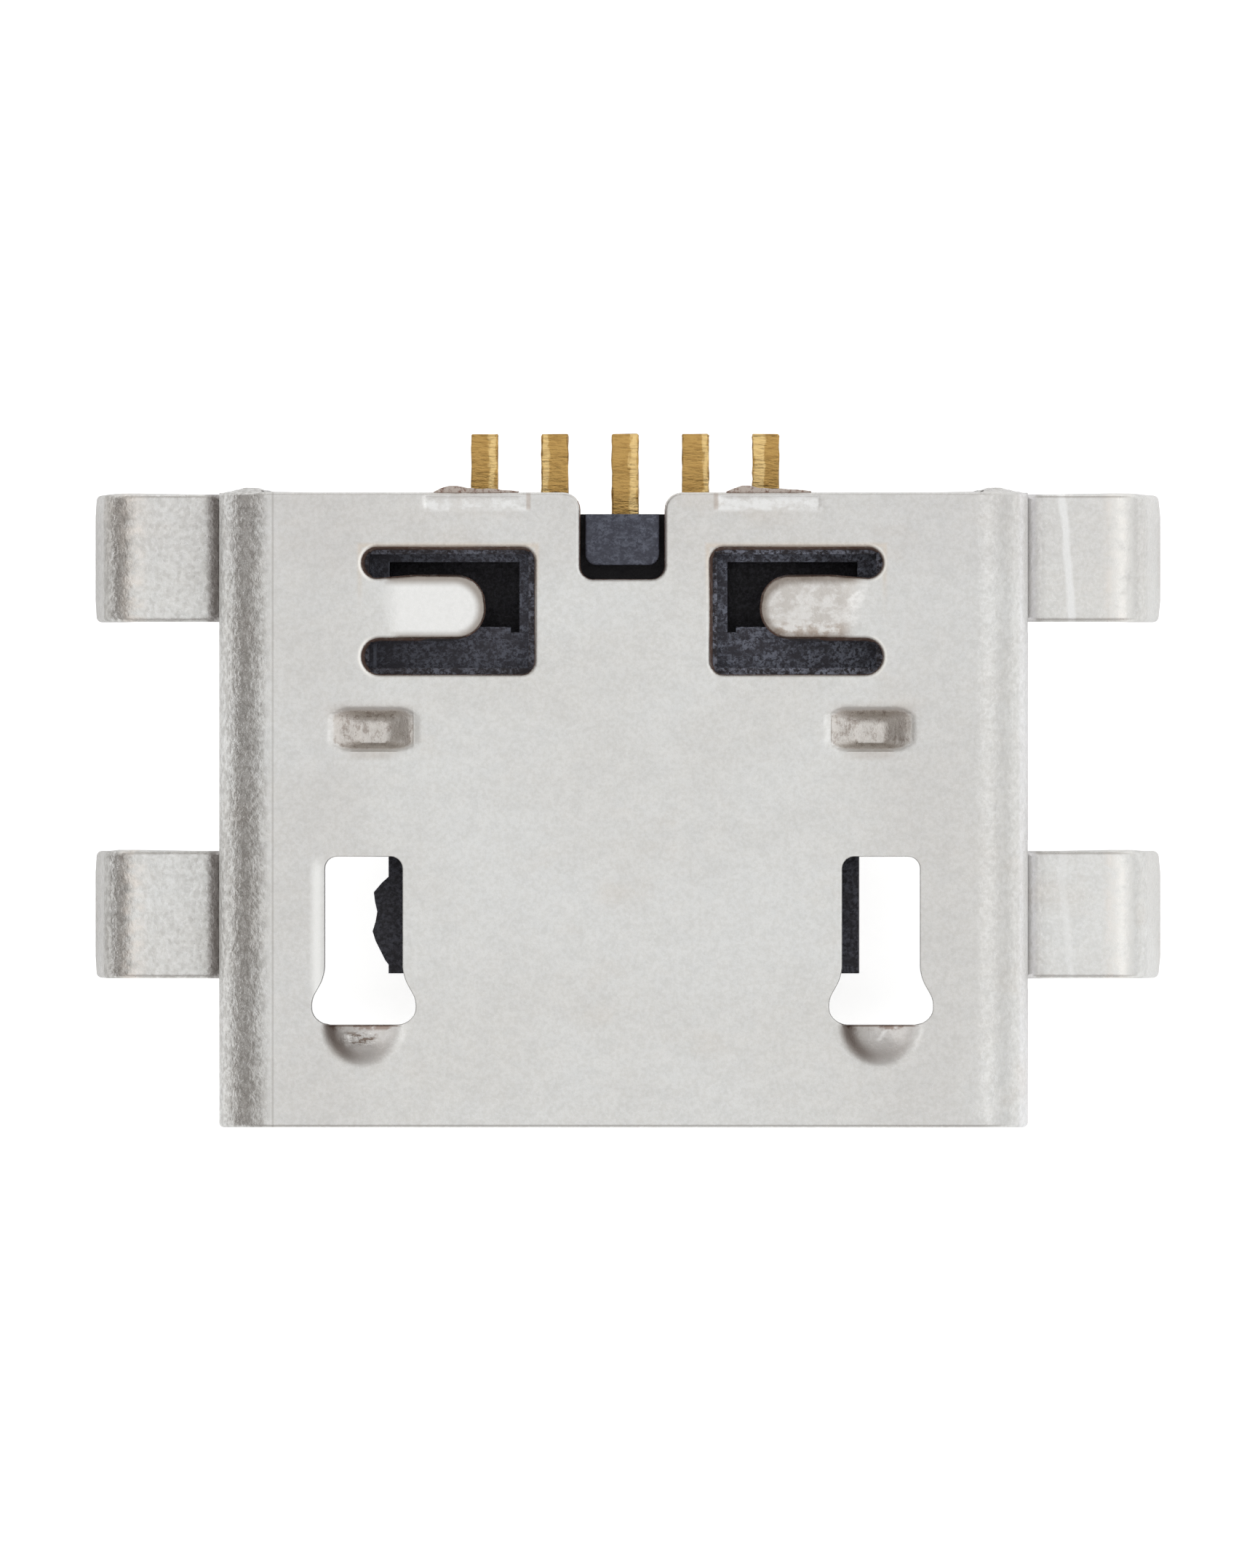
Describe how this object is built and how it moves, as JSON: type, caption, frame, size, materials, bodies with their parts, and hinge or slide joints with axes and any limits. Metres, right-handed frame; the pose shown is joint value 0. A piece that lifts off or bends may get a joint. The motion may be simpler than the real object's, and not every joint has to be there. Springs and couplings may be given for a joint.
{
  "type": "micro usb socket",
  "caption": "Micro USB socket with a folded steel shell, latch slots, four legs through the board, a black housing with its tongue, and gold contacts.",
  "frame": {"origin": "middle of the mouth of the shell's opening, in the plane of its front edge", "axes": "+X across the mouth, +Y from the mouth to the rear, +Z towards the wide face"},
  "size_m": [0.0098, 0.0064, 0.003],
  "materials": {
    "shell_steel": "satin, fine rolled grain",
    "housing_plastic": "matt, finely speckled",
    "contact_gold": "thin gold plating"
  },
  "bodies": {
    "root": {"shell": "shell_steel", "housing": "housing_plastic", "contact_power": "contact_gold", "contact_data_minus": "contact_gold", "contact_data_plus": "contact_gold", "contact_sense": "contact_gold", "contact_ground": "contact_gold"}
  },
  "joints": []
}
